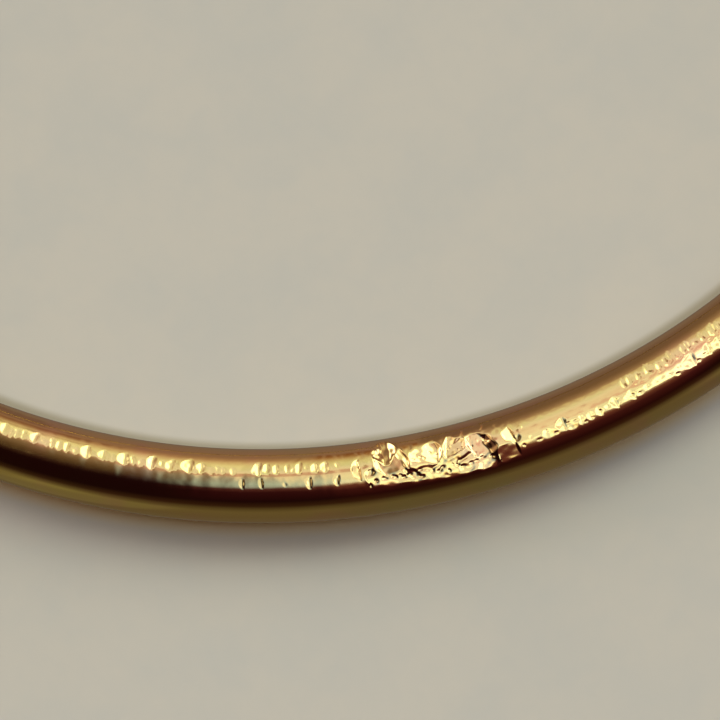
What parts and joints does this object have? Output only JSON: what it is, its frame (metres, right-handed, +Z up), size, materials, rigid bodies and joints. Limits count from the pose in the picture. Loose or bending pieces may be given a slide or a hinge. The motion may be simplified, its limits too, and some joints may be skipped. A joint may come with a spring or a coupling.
{
  "type": "hoop drop earring",
  "caption": "Polished gold hoop of round wire with a struck patch and a notch, hanging in the eye of a plain ear hook, lying on its side.",
  "frame": {"origin": "centre of the footprint, on the surface that the earring lies on", "axes": "+Z up from the surface, +Y from the hoop to the ear hook, +X to the side that the hook's tail lies on"},
  "size_m": [0.032, 0.0476, 0.0042],
  "materials": {
    "polished_gold": "polished yellow gold with fine waviness and small dents",
    "ear_wire_gold": "polished yellow gold"
  },
  "bodies": {
    "root": {"hoop": "polished_gold", "ear_hook": "ear_wire_gold"}
  },
  "joints": []
}
